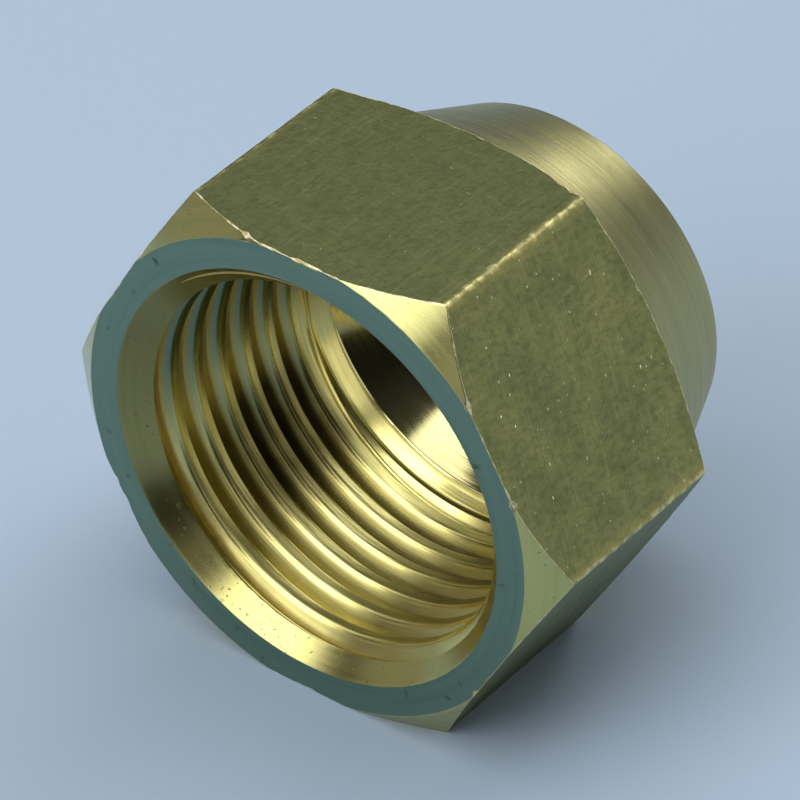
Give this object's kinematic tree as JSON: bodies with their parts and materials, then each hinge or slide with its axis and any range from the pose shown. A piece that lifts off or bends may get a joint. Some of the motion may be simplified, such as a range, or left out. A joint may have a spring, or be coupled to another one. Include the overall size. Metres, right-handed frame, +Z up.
{
  "type": "flare nut",
  "caption": "Short brass flare nut: a hexagon with a threaded mouth at the front and a coned nose at the back, bored through for soft tube.",
  "frame": {"origin": "centre of the flat front face, where the bore's axis meets the threaded end", "axes": "+Y along the bore, from the threaded end to the nose; +Z up, square to the flat it lies on; +X across two corners of the hexagon"},
  "size_m": [0.0256, 0.0175, 0.0222],
  "materials": {
    "turned_brass": "olive drawn flats with fine scratches, turned faces and nose, bright cut thread"
  },
  "bodies": {
    "root": {"flare_nut": "turned_brass"}
  },
  "joints": []
}
